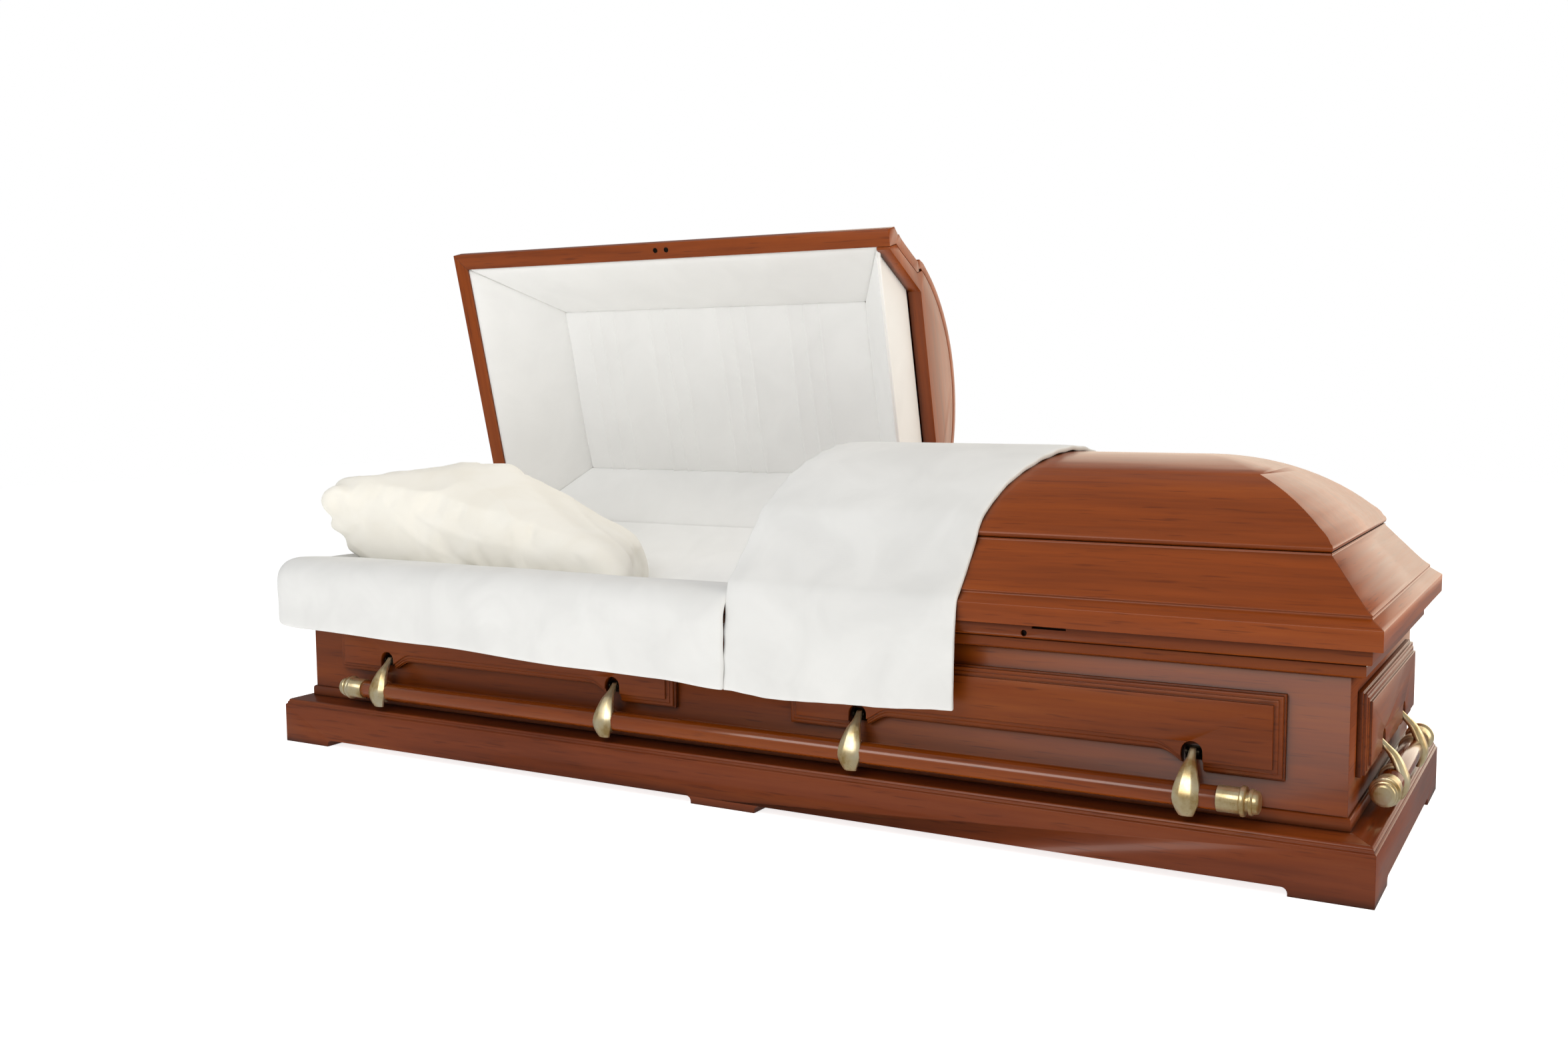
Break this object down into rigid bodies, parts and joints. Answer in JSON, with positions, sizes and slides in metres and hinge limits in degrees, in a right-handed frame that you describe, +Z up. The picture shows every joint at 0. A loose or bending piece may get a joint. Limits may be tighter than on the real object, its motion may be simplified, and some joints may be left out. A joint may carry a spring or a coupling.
{
  "type": "funeral casket",
  "caption": "Half-couch hardwood casket with domed lids, the head lid open on a pleated white lining, with swing bar handles.",
  "frame": {"origin": "middle of the underside of the centre bearer, on the surface that the casket stands on", "axes": "+X along the length towards the foot end, +Y towards the hinged side, +Z up"},
  "size_m": [2.1595, 0.9009, 1.0419],
  "materials": {
    "wood_stained": "satin",
    "wood_dark": "satin",
    "brass": "satin",
    "cloth_white": "satin",
    "cloth_ivory": "satin",
    "steel": "brushed"
  },
  "bodies": {
    "casket": {"base_front": "wood_dark", "base_back": "wood_dark", "base_head_end": "wood_dark", "base_foot_end": "wood_dark", "centre_bearer": "wood_dark", "bottom_board": "wood_dark", "side_front": "wood_stained", "side_back": "wood_stained", "end_head": "wood_stained", "end_foot": "wood_stained", "panel_front_head": "wood_stained", "panel_front_foot": "wood_stained", "panels_back": "wood_stained", "panel_head_end": "wood_stained", "panel_foot_end": "wood_stained", "rim_front": "wood_stained", "rim_back": "wood_stained", "rim_head_end": "wood_stained", "rim_foot_end": "wood_stained", "lugs_front": "steel", "lugs_back": "steel", "lugs_head_end": "steel", "lugs_foot_end": "steel", "body_lining": "cloth_white", "mattress": "cloth_ivory", "pillow": "cloth_ivory", "apron": "cloth_white", "hinge_fixed": "steel"},
    "foot_lid": {"foot_lid_front": "wood_stained", "foot_lid_back": "wood_stained", "foot_lid_end": "wood_stained", "foot_lid_crown": "wood_stained", "foot_lid_header": "wood_stained", "foot_lid_lining": "cloth_white", "header_pad": "cloth_white", "throw": "cloth_white", "hinge_foot_lid": "steel"},
    "head_lid": {"head_lid_front": "wood_stained", "head_lid_back": "wood_stained", "head_lid_end": "wood_stained", "head_lid_crown": "wood_stained", "head_lid_header": "wood_stained", "lining_front": "cloth_white", "lining_head": "cloth_white", "lining_foot": "cloth_white", "lining_hinge": "cloth_white", "lining_centre": "cloth_white", "hinge_head_lid": "steel"},
    "front_bar": {"bar_front": "wood_stained", "caps_front": "brass", "arm_front_1": "brass", "arm_front_2": "brass", "arm_front_3": "brass", "arm_front_4": "brass"},
    "foot_end_bar": {"bar_foot_end": "wood_stained", "caps_foot_end": "brass", "arm_foot_end_1": "brass", "arm_foot_end_2": "brass"},
    "back_bar": {"handle_back": "brass"},
    "head_end_bar": {"handle_head_end": "brass"}
  },
  "joints": [
    {"name": "head_lid_hinge", "type": "hinge", "parent": "casket", "child": "head_lid", "pos_m": [0, 0.356, 0.3526], "axis": [1, 0, 0], "range_deg": [0, 76], "deforming": ["apron", "pillow", "throw"]},
    {"name": "foot_lid_hinge", "type": "hinge", "parent": "casket", "child": "foot_lid", "pos_m": [0, 0.356, 0.3526], "axis": [-1, 0, 0], "range_deg": [0, 76], "deforming": ["throw"]},
    {"name": "front_bar_swing", "type": "hinge", "parent": "casket", "child": "front_bar", "pos_m": [0, -0.3195, 0.186], "axis": [-1, 0, 0], "range_deg": [0, 65]},
    {"name": "back_bar_swing", "type": "hinge", "parent": "casket", "child": "back_bar", "pos_m": [0, 0.3195, 0.186], "axis": [1, 0, 0], "range_deg": [0, 65]},
    {"name": "foot_end_bar_swing", "type": "hinge", "parent": "casket", "child": "foot_end_bar", "pos_m": [1.03, 0, 0.186], "axis": [0, -1, 0], "range_deg": [0, 65]},
    {"name": "head_end_bar_swing", "type": "hinge", "parent": "casket", "child": "head_end_bar", "pos_m": [-1.03, 0, 0.186], "axis": [0, 1, 0], "range_deg": [0, 65]}
  ]
}
